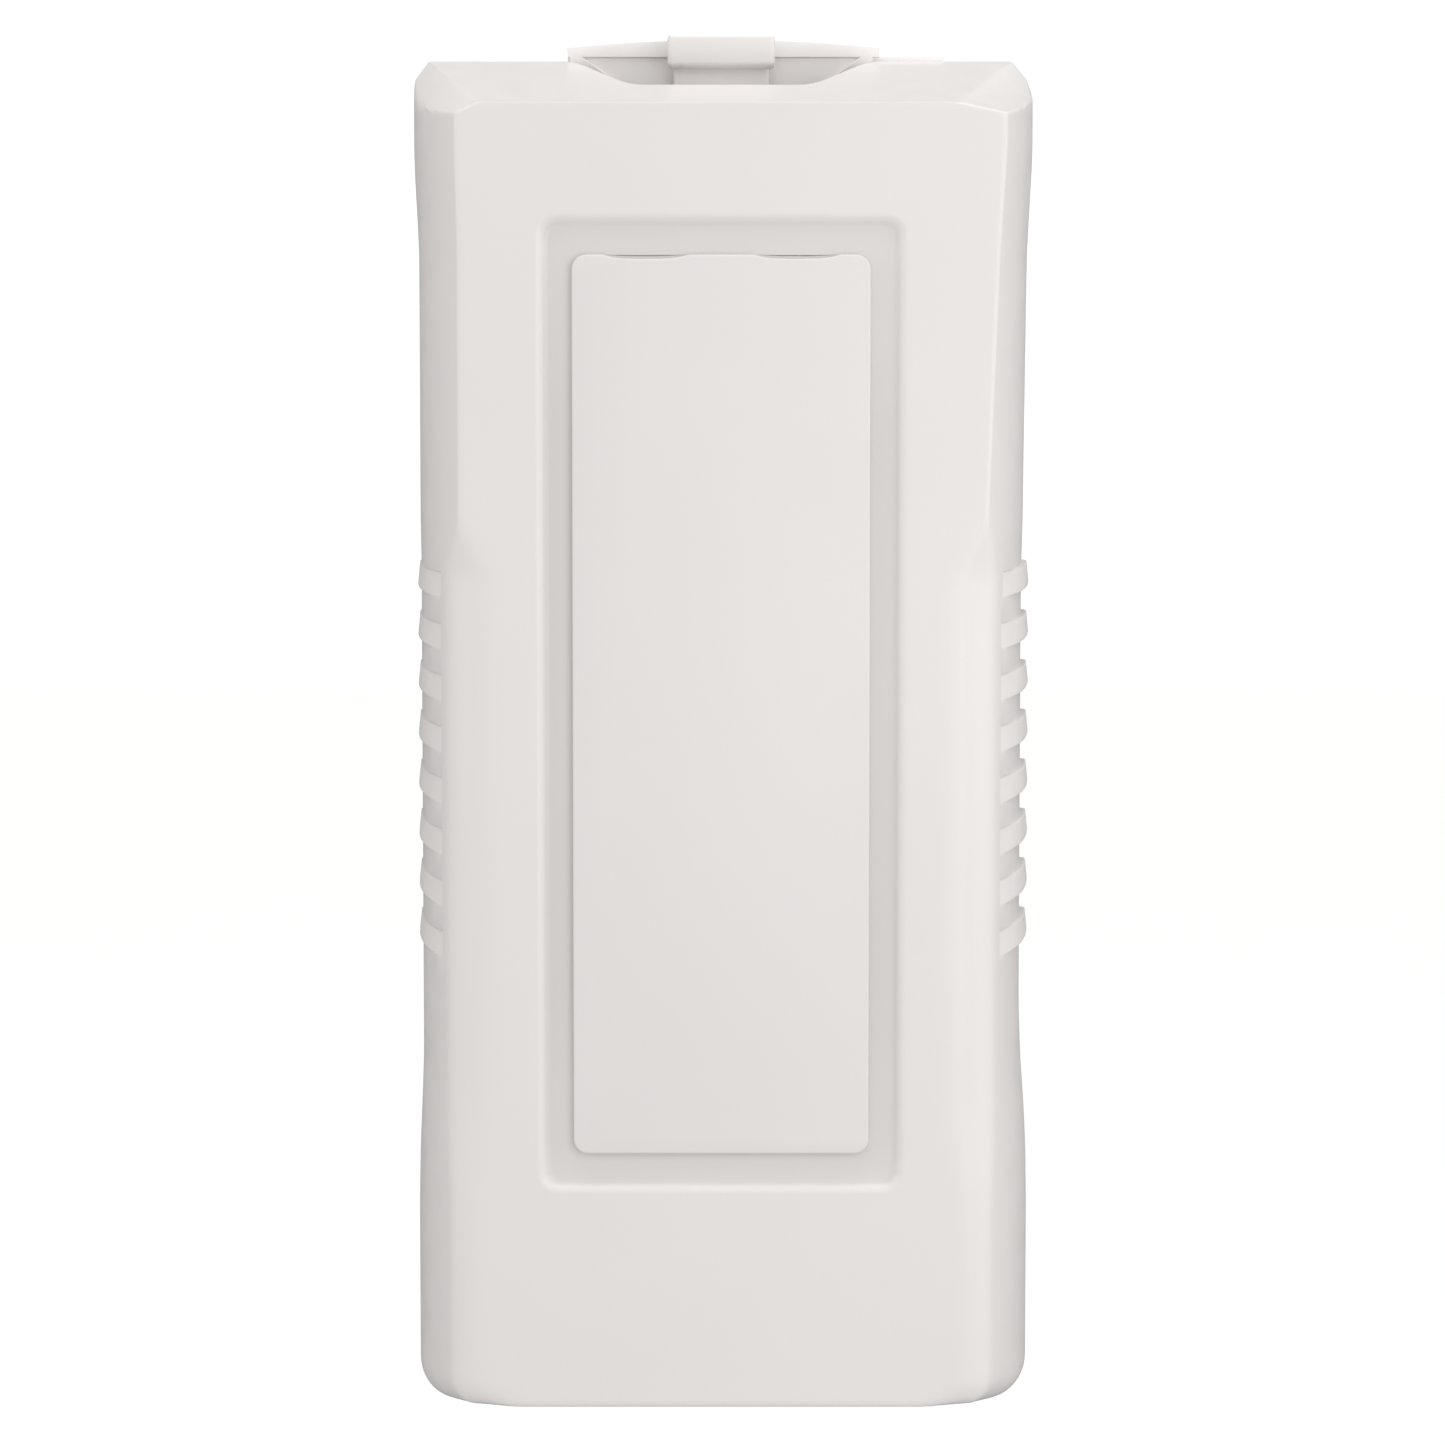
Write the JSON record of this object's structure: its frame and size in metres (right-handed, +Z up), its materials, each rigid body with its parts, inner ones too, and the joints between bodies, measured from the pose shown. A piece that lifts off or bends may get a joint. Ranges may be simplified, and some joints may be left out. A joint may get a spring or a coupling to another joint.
{
  "type": "fire blanket",
  "caption": "White moulded wall case holding a folded glass-fibre fire blanket, with a tilting front cover, a sprung thumb latch and pull tapes at its open foot.",
  "frame": {"origin": "centre of the flat face of the back plate that lies on the wall", "axes": "+X to the right of a person facing the case, +Y into the wall, +Z up"},
  "size_m": [0.1402, 0.046, 0.3032],
  "materials": {
    "shell": "satin moulded white plastic",
    "panel": "fine satin moulded white plastic",
    "latch": "satin moulded white plastic",
    "steel": "bright zinc",
    "glass_cloth": "plain woven glass-fibre cloth",
    "webbing": "woven black webbing"
  },
  "bodies": {
    "back": {"back_plate": "shell", "hinge_pin_left": "steel", "hinge_pin_right": "steel", "latch_spring": "steel"},
    "cover": {"front_cover": "shell", "label_panel": "panel"},
    "latch": {"latch_slide": "latch"},
    "blanket": {"blanket": "glass_cloth", "pull_tape_left": "webbing", "pull_tape_right": "webbing"}
  },
  "joints": [
    {"name": "cover_tilt", "type": "hinge", "parent": "back", "child": "cover", "pos_m": [0, -0.008, -0.138], "axis": [1, 0, 0], "range_deg": [0, 25]},
    {"name": "latch_lift", "type": "slide", "parent": "back", "child": "latch", "axis": [0, 0, 1], "range_m": [0, 0.004], "stiffness_N_per_m": 300, "springref_m": -0.004, "deforming": ["latch_spring"]},
    {"name": "blanket_pull", "type": "slide", "parent": "back", "child": "blanket", "axis": [0, 0, -1], "range_m": [0, 0.27]}
  ]
}
